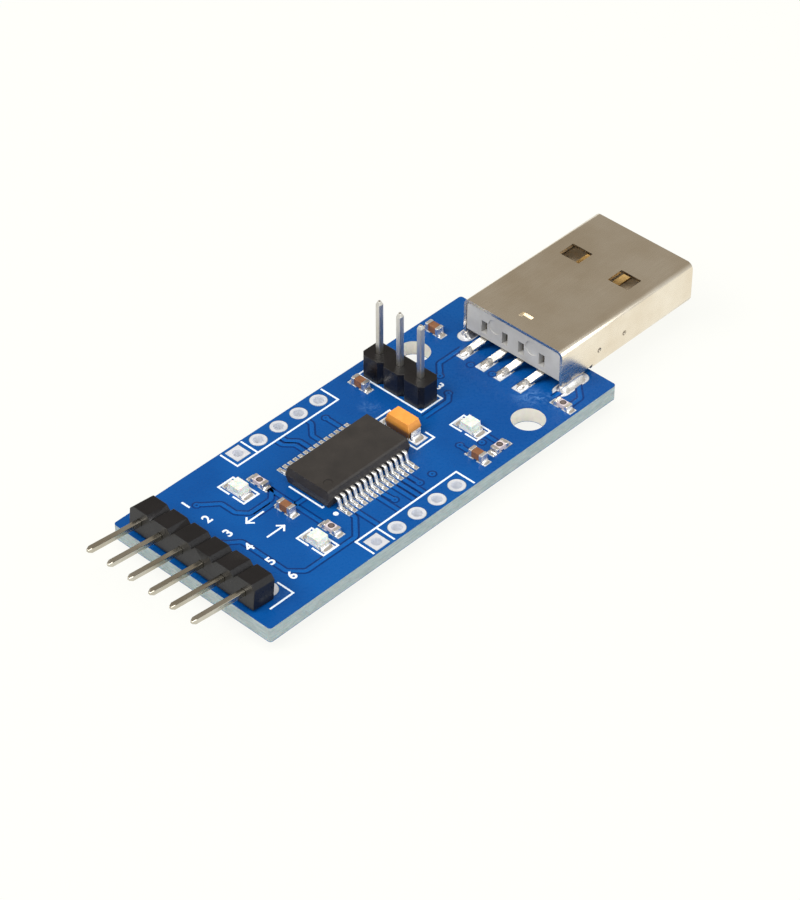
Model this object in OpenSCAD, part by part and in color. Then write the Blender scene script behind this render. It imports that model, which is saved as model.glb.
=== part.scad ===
/* [Board] */
// Length of the board along X
board_l = 44.3; // [42:0.1:50]
// Width of the board along Y
board_w = 19.2; // [19:0.1:24]
// Thickness of the board with its mask films
board_t = 1.6; // [1:0.1:2]
// Radius of the board's corners
board_corner_r = 0.3; // [0.2:0.1:0.8]
// Thickness of a mask film and of the copper pads
film_t = 0.05; // [0.03:0.01:0.08]
// Gap between a pad and the mask around it
mask_gap = 0.06; // [0.03:0.01:0.1]
// Thickness of the printed legend
ink_t = 0.02; // [0.01:0.01:0.05]
// Width of a printed line
ink_w = 0.18; // [0.15:0.01:0.3]

/* [Mounting holes] */
// Diameter of the two mounting holes
mount_hole_d = 3.2; // [2.5:0.1:3.4]
// Distance from the long edges of the board to the mounting holes
mount_hole_side = 2.55; // [2.2:0.05:2.8]
// Distance from the plug end of the board to the mounting holes
mount_hole_inset = 9.15; // [8.5:0.05:10]

/* [Hole rows] */
// Pitch of every pin and hole row
pitch = 2.54; // [2.4:0.01:2.54]
// Number of plated holes in each row
row_count = 5; // [3:1:6]
// Distance from the long edges of the board to the hole rows
row_inset = 1.1; // [1:0.05:1.2]
// Distance from the header end of the board to the first hole
row_start = 13.95; // [13:0.05:14.5]
// Diameter of a plated hole
plated_hole_d = 1; // [0.95:0.05:1.1]
// Thickness of the plating in a hole
plating_t = 0.05; // [0.03:0.01:0.08]
// Diameter of a round pad in the hole rows
row_pad_d = 1.6; // [1.4:0.05:1.8]

/* [Angled header] */
// Number of pins in the angled header
header_count = 6; // [3:1:6]
// Offset of the angled header from the middle of the board
header_offset = 0.4; // [-0.6:0.1:0.6]
// Depth of the header's plastic block along X
header_depth = 2.4; // [2.2:0.1:2.5]
// Height of the header's plastic block
header_h = 2.54; // [2.3:0.01:2.7]
// Distance from the end of the board to the back of the block
header_back = 2.8; // [2.6:0.1:3]
// Lift of the header's free pins, as it was soldered
header_lift = 6; // [0:1:8]
// Length of the free pins in front of the block
header_pin_l = 6; // [4:0.1:7]
// Side of a square pin
pin_w = 0.52; // [0.5:0.02:0.64]
// Distance from the back of the block to the pins' tails
tail_back = 0.5; // [0.46:0.02:0.8]
// Diameter of the header pads
header_pad_d = 1.9; // [1.6:0.05:2]

/* [Selector header] */
// Number of pins in the upright header
selector_count = 3; // [2:1:3]
// Distance from the header end of the board to the upright pins
selector_x = 30.6; // [30.4:0.1:31]
// Offset of the middle pin from the middle of the board
selector_y = 4.5; // [4.2:0.05:4.6]
// Height of the upright pins above their block
selector_pin_l = 5.9; // [5:0.1:8]
// Height of the upright header's block
selector_h = 2.54; // [2.3:0.01:2.7]
// Width of the upright header's block
selector_w = 2.5; // [2.3:0.05:2.6]
// Diameter of the upright header's pads
selector_pad_d = 1.7; // [1.5:0.05:1.9]

/* [Tails] */
// Reach of every soldered tail below the board
tail_reach = 1.4; // [1:0.1:2]
// Height of the solder cone round a tail
solder_h = 0.8; // [0.5:0.05:0.9]

/* [Plug shell] */
// Length of the plug's shell
shell_l = 18.4; // [17.5:0.1:19.5]
// Width of the plug's shell
shell_w = 12; // [11.9:0.05:12.1]
// Height of the plug's shell
shell_h = 4.5; // [4.4:0.05:4.6]
// Thickness of the shell's sheet
shell_t = 0.3; // [0.25:0.01:0.35]
// Outer radius of the shell's long bends
shell_r = 0.7; // [0.5:0.05:0.9]
// Length of the shell that stands over the board
shell_seat = 4.3; // [4.1:0.1:4.6]
// Offset of the plug from the middle of the board
plug_offset = -0.7; // [-0.9:0.05:0.4]
// Length of a latch window
window_l = 2; // [1.6:0.1:2.4]
// Width of a latch window
window_w = 2.4; // [2:0.1:2.6]
// Distance between the two latch windows
window_span = 5.95; // [5.5:0.05:6.2]
// Distance from the shell's mouth to the middle of the windows
window_inset = 6.3; // [5.5:0.1:7]
// Length of a soldered leg along X
leg_l = 2.6; // [2.2:0.1:2.8]
// Width of the joint where the folded sheet meets below
seam_w = 0.1; // [0.06:0.01:0.14]

/* [Plug insert] */
// Length of the plastic block at the back of the plug
block_l = 8; // [7:0.1:9]
// Height of the block above the board
block_lift = 1.1; // [0.9:0.1:1.3]
// Thickness of the tongue that carries the contacts
tongue_t = 1.9; // [1.7:0.05:2]
// Distance from the shell's mouth to the tip of the tongue
tongue_inset = 0.9; // [0.6:0.1:1.4]
// Clearance between the insert and the shell
insert_gap = 0.05; // [0.03:0.01:0.08]
// Width of a contact strip
contact_w = 0.8; // [0.7:0.05:1.2]
// Thickness of a contact strip
contact_t = 0.2; // [0.15:0.01:0.25]
// Distance between the two inner contacts
contact_inner = 2; // [1.9:0.05:2.1]
// Distance between the two outer contacts
contact_outer = 7; // [6.8:0.05:7.2]
// Reach of the contact feet behind the shell
contact_reach = 2.1; // [1.8:0.1:2.4]
// Sideways step of the contact feet behind the shell
contact_step = 0.65; // [0:0.05:0.8]

/* [Chip] */
// Length of the chip's moulded body
chip_l = 10.3; // [10:0.05:10.4]
// Width of the chip's moulded body
chip_w = 5.3; // [5.1:0.05:5.5]
// Height of the chip's moulded body
chip_h = 1.85; // [1.6:0.05:1.9]
// Distance from the header end of the board to the chip's middle
chip_x = 19.15; // [19:0.05:19.4]
// Offset of the chip from the middle of the board
chip_y = -0.05; // [-0.3:0.05:0.2]
// Leads on each side of the chip
lead_count = 14; // [8:1:14]
// Pitch of the leads
lead_pitch = 0.65; // [0.6:0.01:0.66]
// Width over the tips of the leads
lead_span = 7.9; // [7.6:0.05:8]
// Width of a lead
lead_w = 0.32; // [0.25:0.01:0.36]
// Thickness of a lead
lead_t = 0.16; // [0.12:0.01:0.2]
// Length of the flat foot of a lead
lead_foot = 0.75; // [0.6:0.05:0.85]

/* [Small parts] */
// Length of a small resistor or ceramic capacitor
small_l = 1.6; // [1.5:0.05:1.65]
// Width of a small resistor or ceramic capacitor
small_w = 0.85; // [0.8:0.05:0.9]
// Height of a small resistor
resistor_h = 0.5; // [0.4:0.05:0.55]
// Height of a ceramic capacitor
ceramic_h = 0.85; // [0.7:0.05:0.9]
// Length of an end cap on a small part
cap_l = 0.36; // [0.25:0.01:0.45]
// Length of the moulded capacitor
moulded_l = 3.2; // [3:0.05:3.3]
// Width of the moulded capacitor
moulded_w = 1.65; // [1.5:0.05:1.7]
// Height of the moulded capacitor
moulded_h = 1.65; // [1.5:0.05:1.8]
// Length of a lamp's base
lamp_l = 2; // [1.9:0.05:2.1]
// Width of a lamp's base
lamp_w = 1.25; // [1.15:0.05:1.3]
// Height of a lamp with its lens
lamp_h = 0.85; // [0.7:0.05:0.9]

/* [Hidden] */

// Curved forms that end in true arcs
$fn = 48;
// A hair that keeps cutting tools clear of the faces they cut
eps = 0.01;

// Heights: tails stand on zero, the board's films lie between low and top
low = tail_reach;
top = low + board_t;
core_t = board_t - 2 * film_t;

// The header's pins after the lift, seen along Y
lift_cos = cos(header_lift);
lift_sin = sin(header_lift);
free_end_x = header_back - (header_depth + header_pin_l) * lift_cos
    + (header_h / 2 - pin_w / 4) * lift_sin;

// The plug along X, and the middle of the whole part
shell_back = board_l - shell_seat;
shell_front = shell_back + shell_l;
middle_x = (free_end_x + shell_front) / 2;

// Pad rows as lists of places on the board
header_tail_x = header_back + tail_back;
edge_y = board_w / 2;
row_y = edge_y - row_inset;
header_ys = [for (i = [0 : header_count - 1])
    header_offset + ((header_count - 1) / 2 - i) * pitch];
selector_ys = [for (i = [0 : selector_count - 1])
    selector_y + ((selector_count - 1) / 2 - i) * pitch];
row_xs = [for (i = [0 : row_count - 1]) row_start + i * pitch];
mount_x = board_l - mount_hole_inset;
contact_ys = [for (y = [contact_outer, contact_inner, -contact_inner, -contact_outer])
    plug_offset + y / 2];
drill_d = plated_hole_d + 2 * plating_t;

// Small parts: place of the middle and the direction of the long side
selector_part_gap = 2.4;
plug_part_gap = 1.35;
resistors = [[12.4, 4.2, 90], [12.4, -4.6, 90], [30.4, 1.75 - edge_y, 0],
    [shell_back - plug_part_gap, 1.5 - edge_y, 90]];
ceramics = [[11.5, 0, 90], [selector_x - selector_part_gap, edge_y - 2.45, 90],
    [28.1, 2.25 - edge_y, 90], [shell_back - plug_part_gap, edge_y - 1.85, 90]];
lamps = [[10.45, 4.85], [10.45, -4.85], [30.65, -4.1]];
moulded_at = [26.35, 0.1];

// Pads under the small parts
small_pad_l = 0.6;
small_pad_out = 0.45;
lamp_pad_l = 0.95;
lamp_pad_out = 0.5;
strap_pad_l = 1.3;
strap_pad_out = 0.75;
strap_w = 1.2;
lead_pad_l = 1.5;
lead_pad_w = 0.4;
lead_pad_out = 0.5;
contact_pad_l = 2;
contact_pad_w = 1.1;
slot_w = 0.7;
leg_pad_edge = 0.45;
pad_w_less = 0.2;

// Legs of the shell and the slots that take them
leg_inset = 0.2;
leg_mid_x = shell_back + leg_inset + leg_l / 2;
leg_ys = [plug_offset - shell_w / 2 + shell_t / 2, plug_offset + shell_w / 2 - shell_t / 2];

// Clearance between the end of the board and the parts of the plug in front of it
board_gap = 0.1;

// Moves a board drawing to its place in the part
module place(z = 0) {
    translate([-middle_x, 0, z]) children();
}

// A bar between two points of a drawing, with square ends
module bar(a, b, w = ink_w) {
    d = b - a;
    run = norm(d);
    translate(a)
        rotate(atan2(d[1], d[0]))
            translate([-w / 2, -w / 2]) square([run + w, w]);
}

// A chain of bars through a list of points
module stroke(points, w = ink_w) {
    for (i = [0 : len(points) - 2]) bar(points[i], points[i + 1], w);
}

// A rectangle round the origin with rounded corners made of true arcs
module round_box(size, r) {
    square([size[0] - 2 * r, size[1]], center = true);
    square([size[0], size[1] - 2 * r], center = true);
    for (x = [-1, 1], y = [-1, 1])
        translate([x * (size[0] / 2 - r), y * (size[1] / 2 - r)]) circle(r = r);
}

// A slot with round ends, along X
module slot_shape(l, w) {
    square([l - w, w], center = true);
    for (x = [-1, 1]) translate([x * (l - w) / 2, 0]) circle(d = w);
}

// Outline of the board with its corners
module board_outline() {
    translate([board_l / 2, 0]) round_box([board_l, board_w], board_corner_r);
}

// Copies at the two mounting holes
module at_mount_holes() {
    for (s = [-1, 1]) translate([mount_x, s * (edge_y - mount_hole_side)]) children();
}

// Copies at the plated holes of one row, on the front or the back side
module at_row(side) {
    for (x = row_xs) translate([x, side * row_y]) children();
}

module at_header_tails() {
    for (y = header_ys) translate([header_tail_x, y]) children();
}

module at_selector_tails() {
    for (y = selector_ys) translate([selector_x, y]) children();
}

module at_legs() {
    for (y = leg_ys) translate([leg_mid_x, y]) children();
}

// Every drilled or milled opening of the board
module board_holes() {
    at_mount_holes() circle(d = mount_hole_d);
    for (side = [-1, 1]) at_row(side) circle(d = drill_d);
    at_header_tails() circle(d = drill_d);
    at_selector_tails() circle(d = drill_d);
    at_legs() slot_shape(leg_l + slot_w, slot_w + 2 * plating_t);
}

// Pads round the plated holes, each with a margin
module row_pad_shapes(side, m = 0) {
    at_row(side) circle(d = row_pad_d + 2 * m);
    translate([row_xs[0], side * row_y])
        square(row_pad_d + 2 * m, center = true);
}

module header_pad_shapes(m = 0) {
    at_header_tails() circle(d = header_pad_d + 2 * m);
}

module selector_pad_shapes(m = 0) {
    at_selector_tails() circle(d = selector_pad_d + 2 * m);
}

module leg_pad_shapes(m = 0) {
    at_legs() slot_shape(leg_l + slot_w + 2 * (leg_pad_edge + m),
        slot_w + 2 * (leg_pad_edge + m));
}

// Two pads at the ends of a part of length l that lies along X
module pair_pads(l, pad_l, out, w, m) {
    for (s = [-1, 1])
        translate([s * (l / 2 + out - pad_l / 2), 0])
            square([pad_l + 2 * m, w + 2 * m], center = true);
}

// Pads under the surface parts, each with a margin
module surface_pad_shapes(m = 0) {
    for (p = concat(resistors, ceramics))
        translate([p[0], p[1]]) rotate(p[2])
            pair_pads(small_l, small_pad_l + small_pad_out, small_pad_out, small_w, m);
    for (p = lamps)
        translate([p[0], p[1]]) rotate(90)
            pair_pads(lamp_l, lamp_pad_l, lamp_pad_out, lamp_w, m);
    translate(moulded_at) rotate(90)
        pair_pads(moulded_l, strap_pad_l, strap_pad_out, moulded_w - pad_w_less, m);
    for (side = [-1, 1], i = [0 : lead_count - 1])
        translate([lead_x(i), chip_y + side * (lead_span / 2 + lead_pad_out - lead_pad_l / 2)])
            square([lead_pad_w + 2 * m, lead_pad_l + 2 * m], center = true);
    for (y = contact_ys)
        translate([shell_back - contact_reach + contact_pad_l / 4, y + contact_step])
            square([contact_pad_l + 2 * m, contact_pad_w + 2 * m], center = true);
}

function lead_x(i) = chip_x + (i - (lead_count - 1) / 2) * lead_pitch;

// The laminate core with its drilled holes
module board() {
    color("tan")
        place(low + film_t)
            linear_extrude(core_t)
                difference() {
                    board_outline();
                    board_holes();
                }
}

module all_pad_shapes(m) {
    for (side = [-1, 1]) row_pad_shapes(side, m);
    header_pad_shapes(m);
    selector_pad_shapes(m);
    leg_pad_shapes(m);
}

// The blue film on the parts side
module mask_top() {
    color("royalblue")
        place(top - film_t)
            linear_extrude(film_t)
                difference() {
                    board_outline();
                    at_mount_holes() circle(d = mount_hole_d);
                    all_pad_shapes(mask_gap);
                    surface_pad_shapes(mask_gap);
                }
}

// The blue film on the underside
module mask_bottom() {
    color("royalblue")
        place(low)
            linear_extrude(film_t)
                difference() {
                    board_outline();
                    at_mount_holes() circle(d = mount_hole_d);
                    all_pad_shapes(mask_gap);
                }
}

// A printed frame round a lamp: two brackets with a gap on each long side
lamp_frame_l = 3.2;
lamp_frame_w = 1.8;
lamp_frame_gap = 0.6;
module lamp_frame() {
    x = lamp_frame_l / 2;
    y = lamp_frame_w / 2;
    for (s = [-1, 1])
        stroke([[s * lamp_frame_gap / 2, -y], [s * x, -y], [s * x, y], [s * lamp_frame_gap / 2, y]]);
}

// A printed arrow along X with an open head
arrow_l = 2;
arrow_head = 0.45;
arrow_out = 5.65;
arrow_x = header_tail_x + arrow_out;
arrow_apart = 2.6;
module arrow() {
    stroke([[-arrow_l / 2, 0], [arrow_l / 2, 0]]);
    stroke([[arrow_l / 2 - arrow_head, arrow_head], [arrow_l / 2, 0],
        [arrow_l / 2 - arrow_head, -arrow_head]]);
}

// The printed lines round a hole row, open towards the board's edge
row_line_in = 1.25;
row_line_edge = 0.25;
module row_lines(side) {
    y_in = side * (row_y - row_line_in);
    y_out = side * (edge_y - row_line_edge);
    x_first = row_xs[0] - pitch / 2;
    x_last = row_xs[row_count - 1] + pitch / 2;
    stroke([[x_first, y_out], [x_first, y_in], [x_last, y_in], [x_last, y_out]]);
    stroke([[row_xs[0] + pitch / 2, y_in], [row_xs[0] + pitch / 2, y_out]]);
}

// Printed lines, frames, arrows and the dot beside the chip's first lead
legend_end = 1.15;
frame_gap = 0.22;
dot_d = 0.5;
dot_out = 0.8;
dot_in = 0.55;
chip_line_gap = 0.12;
chip_line_front = 2;
chip_line_back = 2;
selector_line_gap = 0.12;
selector_hook = 1;
header_line = 1;
header_line_out = 0.65;
header_hook = 1.8;
moulded_line_out = 0.3;
moulded_line_in = 1.75;
module legend() {
    color("white")
        place(top)
            linear_extrude(ink_t) {
                for (side = [-1, 1]) row_lines(side);
                for (p = lamps) translate(p) rotate(90) lamp_frame();
                translate([arrow_x, arrow_apart / 2]) rotate(180) arrow();
                translate([arrow_x, -arrow_apart / 2]) arrow();
                x_chip = chip_x - chip_l / 2 - chip_line_gap;
                stroke([[x_chip + chip_line_gap, chip_y - chip_line_front], [x_chip, chip_y - chip_line_front],
                    [x_chip, chip_y + chip_line_back]]);
                translate([lead_x(0) - dot_out, chip_y + dot_in - lead_span / 2]) circle(d = dot_d);
                frame_x = selector_w / 2 + selector_line_gap;
                y_low = selector_ys[selector_count - 1] - pitch / 2 - selector_line_gap;
                y_high = selector_ys[0] + pitch / 2 + selector_line_gap;
                stroke([[selector_x + frame_x, y_low + selector_hook], [selector_x + frame_x, y_low],
                    [selector_x - frame_x, y_low], [selector_x - frame_x, y_high],
                    [selector_x + frame_x, y_high], [selector_x + frame_x, y_high - selector_hook]]);
                y_end = header_ys[header_count - 1] - pitch / 2 - header_line_out;
                x_end = header_tail_x + header_pad_d / 2 + frame_gap;
                stroke([[header_back - header_line, y_end], [x_end, y_end], [x_end, y_end + header_hook]]);
                x_line = moulded_w / 2 + moulded_line_out;
                y_line = moulded_l / 2 + legend_end;
                for (s = [-1, 1])
                    translate(moulded_at)
                        stroke([[-x_line, s * moulded_line_in], [-x_line, s * y_line],
                            [x_line, s * y_line], [x_line, s * moulded_line_in]]);
            }
}

// A plated hole: a barrel with a pad on each face
module plated(d, square_pad = false) {
    difference() {
        union() {
            cylinder(d = drill_d, h = board_t);
            for (z = [0, board_t - film_t])
                translate([0, 0, z])
                    linear_extrude(film_t)
                        if (square_pad) square(d, center = true); else circle(d = d);
        }
        translate([0, 0, -eps]) cylinder(d = plated_hole_d, h = board_t + 2 * eps);
    }
}

module row_pads(side) {
    color("gainsboro")
        place(low)
            for (i = [0 : row_count - 1])
                translate([row_xs[i], side * row_y]) plated(row_pad_d, i == 0);
}

module row_pads_front() {
    row_pads(-1);
}

module row_pads_back() {
    row_pads(1);
}

module header_pads() {
    color("gainsboro") place(low) at_header_tails() plated(header_pad_d);
}

module selector_pads() {
    color("gainsboro") place(low) at_selector_tails() plated(selector_pad_d);
}

module surface_pads() {
    color("gainsboro")
        place(top - film_t) linear_extrude(film_t) surface_pad_shapes();
}

// Plated slots that take the legs of the shell
module leg_pads() {
    color("gainsboro")
        place(low)
            at_legs()
                difference() {
                    union() {
                        linear_extrude(board_t)
                            slot_shape(leg_l + slot_w, slot_w + 2 * plating_t);
                        for (z = [0, board_t - film_t])
                            translate([0, 0, z])
                                linear_extrude(film_t)
                                    slot_shape(leg_l + slot_w + 2 * leg_pad_edge,
                                        slot_w + 2 * leg_pad_edge);
                    }
                    translate([0, 0, -eps])
                        linear_extrude(board_t + 2 * eps)
                            slot_shape(leg_l + slot_w - 2 * plating_t, slot_w);
                }
}

// The folded sheet of the plug, seen along X, with its joint below
module shell_section() {
    difference() {
        translate([0, shell_h / 2]) round_box([shell_w, shell_h], shell_r);
        translate([0, shell_h / 2])
            round_box([shell_w - 2 * shell_t, shell_h - 2 * shell_t], shell_r - shell_t);
    }
}

// The dovetail where the two edges of the sheet lock together
lock_l = 1.8;
lock_reach = 0.9;
lock_flare = 0.45;
module seam_shape() {
    x = (shell_seat + shell_l - window_inset - window_l / 2) / 2;
    stroke([[-seam_w, 0], [x - lock_l / 2, 0], [x - lock_l / 2 - lock_flare, lock_reach],
        [x + lock_l / 2 + lock_flare, lock_reach], [x + lock_l / 2, 0],
        [shell_l + seam_w, 0]], seam_w);
}

// Windows for the latches of a socket
module window_shapes() {
    for (s = [-1, 1])
        translate([shell_l - window_inset, s * window_span / 2])
            square([window_l, window_w], center = true);
}

// Relief between the soldered leg and the free edge of the side wall
relief_h = 0.8;
relief_slope = 0.35;
module leg_relief() {
    x = leg_inset + leg_l;
    z = relief_h - relief_slope;
    polygon([[x, -eps], [shell_seat, -eps], [shell_seat, relief_h], [x + relief_slope, z], [x, z]]);
}

// The pressed stop behind the top edge and the pressed dots on the sides
stop_l = 0.7;
stop_w = 1.3;
stop_depth = 0.2;
stop_inset = 1.8;
dent_r = 0.28;
dent_depth = 0.15;
dents = [[5.2, 1.9], [8.7, 1.9]];
module usb_shell() {
    color("silver")
        place(top)
            translate([shell_back, plug_offset, 0])
                difference() {
                    union() {
                        rotate([90, 0, 90]) linear_extrude(shell_l) shell_section();
                        for (s = [-1, 1])
                            translate([leg_inset, s * (shell_w - shell_t) / 2 - shell_t / 2, -top])
                                cube([leg_l, shell_t, top + shell_r + relief_h]);
                    }
                    // The bottom wall ends at the board's edge
                    translate([-eps, -shell_w / 2 + shell_t, -eps])
                        cube([shell_seat + board_gap + eps, shell_w - 2 * shell_t, block_lift]);
                    for (s = [-1, 1])
                        translate([0, s * shell_w / 2, 0])
                            translate([-eps, s > 0 ? -shell_r - eps : -eps, -eps])
                                cube([leg_inset + eps, shell_r + 2 * eps, shell_r + eps]);
                    translate([0, shell_w / 2 + eps, 0])
                        rotate([90, 0, 0]) linear_extrude(shell_w + 2 * eps) leg_relief();
                    translate([0, 0, -eps])
                        linear_extrude(shell_t + 2 * eps) {
                            seam_shape();
                            window_shapes();
                        }
                    translate([0, 0, shell_h - shell_t - eps])
                        linear_extrude(shell_t + 2 * eps) window_shapes();
                    translate([stop_inset, 0, shell_h - stop_depth])
                        linear_extrude(stop_depth + eps) square([stop_l, stop_w], center = true);
                    for (s = [-1, 1], p = dents)
                        translate([p[0], s * (shell_w / 2 + dent_r - dent_depth), p[1]])
                            sphere(r = dent_r);
                }
}

// One contact strip, seen along Y: spring end, run along the tongue, drop through the block, foot
contact_rise = shell_t + insert_gap + tongue_t;
contact_tip_inset = 0.8;
contact_tip = shell_l - tongue_inset - contact_tip_inset;
contact_dip = 0.35;
contact_nose = 0.6;
contact_drop_x = 0.7;
contact_out_x = -0.15;
contact_out_z = block_lift - insert_gap - contact_t;
contact_foot = 0.95;
contact_heel = contact_foot - contact_reach;
module contact_profile() {
    z = contact_rise;
    t = contact_t;
    tip = contact_tip;
    polygon([
        [tip, z - contact_dip], [tip, z - t / 2], [tip - contact_nose, z + t],
        [contact_drop_x, z + t], [contact_drop_x, contact_out_z + t], [contact_out_x, contact_out_z + t],
        [contact_heel, t], [-contact_reach, t], [-contact_reach, 0], [contact_heel + t / 2, 0],
        [contact_out_x, contact_out_z], [contact_drop_x + t, contact_out_z], [contact_drop_x + t, z],
        [tip - contact_nose - t / 2, z]
    ]);
}

// The same strip from above: straight inside, stepped sideways on its slope
module contact_plan() {
    w = contact_w / 2;
    step = contact_step;
    polygon([
        [-contact_reach - eps, step - w], [contact_heel, step - w], [contact_out_x, -w], [shell_l, -w],
        [shell_l, w], [contact_out_x, w], [contact_heel, step + w], [-contact_reach - eps, step + w]
    ]);
}

module contact(i) {
    place(top)
        translate([shell_back, contact_ys[i], 0])
            intersection() {
                rotate([90, 0, 0])
                    linear_extrude(2 * (contact_w + contact_step), center = true) contact_profile();
                translate([0, 0, -eps]) linear_extrude(shell_h) contact_plan();
            }
}

module usb_contact_1() {
    color("lightgray") contact(0);
}

module usb_contact_2() {
    color("lightgray") contact(1);
}

module usb_contact_3() {
    color("lightgray") contact(2);
}

module usb_contact_4() {
    color("lightgray") contact(3);
}

// The moulded insert: a block that fills the back of the shell and a tongue
notch_w = 0.7;
notch_h = 1.35;
notch_z = 1.65;
mark_d = 1.5;
mark_depth = 0.08;
module usb_insert() {
    gap = insert_gap;
    inner_w = shell_w - 2 * (shell_t + gap);
    z_low = shell_t + gap;
    z_high = shell_h - shell_t - gap;
    r = shell_r - shell_t;
    seat = shell_seat + board_gap;
    color("lightgray")
        place(top)
            translate([shell_back, plug_offset, 0])
                difference() {
                    union() {
                        translate([gap, 0, (z_low + z_high) / 2])
                            rotate([90, 0, 90])
                                linear_extrude(block_l)
                                    round_box([inner_w, z_high - z_low], r);
                        translate([gap, 0, 0])
                            rotate([90, 0, 90])
                                linear_extrude(shell_l - tongue_inset - gap)
                                    intersection() {
                                        translate([0, (z_low + z_high) / 2])
                                            round_box([inner_w, z_high - z_low], r);
                                        translate([-inner_w / 2, z_low]) square([inner_w, tongue_t]);
                                    }
                    }
                    // The block is clear of the board
                    translate([-1, -shell_w / 2, -eps])
                        cube([1 + seat, shell_w, block_lift + eps]);
                    for (y = contact_ys)
                        translate([0, y - plug_offset, 0]) {
                            // The strip's own channel through the block and along the tongue
                            translate([0, contact_w / 2 + gap, 0])
                                rotate([90, 0, 0])
                                    linear_extrude(contact_w + 2 * gap) contact_channel();
                            // The notch that shows the strip's drop from behind
                            translate([-eps, -notch_w / 2, notch_z])
                                cube([contact_drop_x + eps, notch_w, notch_h]);
                        }
                    // Round marks of the ejector pins, between the notches
                    for (s = [-1, 1])
                        translate([gap, s * (contact_inner + contact_outer) / 4, notch_z + notch_h])
                            rotate([0, 90, 0])
                                cylinder(d = mark_d, h = 2 * mark_depth, center = true);
                }
}

// Channel of a strip, seen along Y: open at the tongue's top and at the block's underside
module contact_channel() {
    z = contact_rise;
    t = contact_t;
    gap = insert_gap;
    tip = contact_tip + gap;
    polygon([
        [tip, z - contact_dip - gap], [tip, z + t + gap], [contact_drop_x - gap, z + t + gap],
        [contact_drop_x - gap, 0], [contact_drop_x + t + gap, 0], [contact_drop_x + t + gap, z - gap],
        [tip - contact_nose - t / 2, z - gap]
    ]);
}

// The chip's body: two tapered halves moulded round the leads
chip_foot_gap = 0.1;
chip_draft = 0.16;
chip_chamfer = 0.14;
chip_mark_d = 0.9;
chip_mark_inset = 1.12;
chip_mark_depth = 0.08;
module chip_body() {
    z_mid = chip_foot_gap + (chip_h - chip_foot_gap) / 2;
    color([0.2, 0.2, 0.2])
        place(top)
            translate([chip_x, chip_y, 0])
                difference() {
                    intersection() {
                        rotate([90, 0, 90])
                            linear_extrude(chip_l, center = true)
                                chip_section(chip_w, z_mid, chip_chamfer);
                        rotate([90, 0, 0])
                            linear_extrude(chip_w, center = true)
                                chip_section(chip_l, z_mid, 0);
                    }
                    translate([chip_mark_inset - chip_l / 2, chip_mark_inset - chip_w / 2, chip_h])
                        cylinder(d = chip_mark_d, h = 2 * chip_mark_depth, center = true);
                }
}

// Section of the body with its draft and the chamfer along one long edge
module chip_section(w, z_mid, chamfer) {
    h = w / 2;
    d = chip_draft;
    polygon([
        [-h, z_mid], [d - h, chip_foot_gap], [h - d, chip_foot_gap], [h, z_mid],
        [h - d, chip_h], [d + chamfer - h, chip_h], [d - h, chip_h - chamfer]
    ]);
}

// A lead with its shoulder, its slope and its foot, seen along X
lead_shoulder = 0.28;
module lead_profile() {
    z = chip_foot_gap + (chip_h - chip_foot_gap) / 2 - lead_t / 2;
    edge = chip_w / 2;
    tip = lead_span / 2;
    knee = edge + lead_shoulder;
    heel = tip - lead_foot;
    t = lead_t;
    polygon([
        [edge, z + t], [knee, z + t], [knee + t * 0.9, z + t - t * 0.6],
        [heel + t * 0.7, t * 1.1], [heel + t * 1.2, t], [tip, t], [tip, 0], [heel, 0],
        [heel - t * 0.5, t * 0.4], [knee - t * 0.1, z - t * 0.1], [edge, z]
    ]);
}

module lead_row(side) {
    color("gainsboro")
        place(top)
            for (i = [0 : lead_count - 1])
                translate([lead_x(i), chip_y, 0])
                    rotate(side > 0 ? 0 : 180)
                        translate([-lead_w / 2, 0, 0])
                            rotate([90, 0, 90]) linear_extrude(lead_w) lead_profile();
}

module chip_leads_front() {
    lead_row(-1);
}

module chip_leads_back() {
    lead_row(1);
}

// Turns a drawing of the header, in X and Z, by its lift about the block's back edge
module lifted() {
    translate([header_back, 0, 0]) rotate([0, header_lift, 0]) children();
}

// The header's block: joined eight-sided cells with a hole for each pin
cell_cut = 0.42;
module angled_header_block() {
    color([0.13, 0.12, 0.13])
        place(top)
            lifted()
                difference() {
                    for (y = header_ys) translate([0, y, 0]) header_cell();
                    for (y = header_ys)
                        translate([-header_depth - eps, y - pin_w / 2, header_h / 2 - pin_w / 2])
                            cube([header_depth + 2 * eps, pin_w, pin_w]);
                }
}

// One cell of the block, chamfered where it joins the next, above and in front
module header_cell() {
    c = cell_cut;
    h = header_h / 2;
    translate([-header_depth, 0, h])
        rotate([90, 0, 90])
            linear_extrude(header_depth)
                polygon([
                    [-pitch / 2, -h], [pitch / 2, -h], [pitch / 2, h - c], [pitch / 2 - c, h],
                    [c - pitch / 2, h], [-pitch / 2, h - c]
                ]);
}

// A point of the header's drawing, in X and Z, turned by the lift
function lift_point(p) = [
    header_back + p[0] * lift_cos + p[1] * lift_sin,
    p[1] * lift_cos - p[0] * lift_sin
];

// Share of a pin's side that is left at its pointed end
pin_point = 0.35;
pin_blunt = 0.5;
header_reach = header_depth + header_pin_l;
header_mid_z = header_h / 2;

// The inside of the bend, where the lifted pin meets the upright tail
bend_x = header_tail_x - pin_w / 2;
bend_run = (bend_x - header_back - (header_mid_z - pin_w / 2) * lift_sin) / lift_cos;
bend_at = lift_point([bend_run, header_mid_z - pin_w / 2]);
bend_steps = 6;

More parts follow.
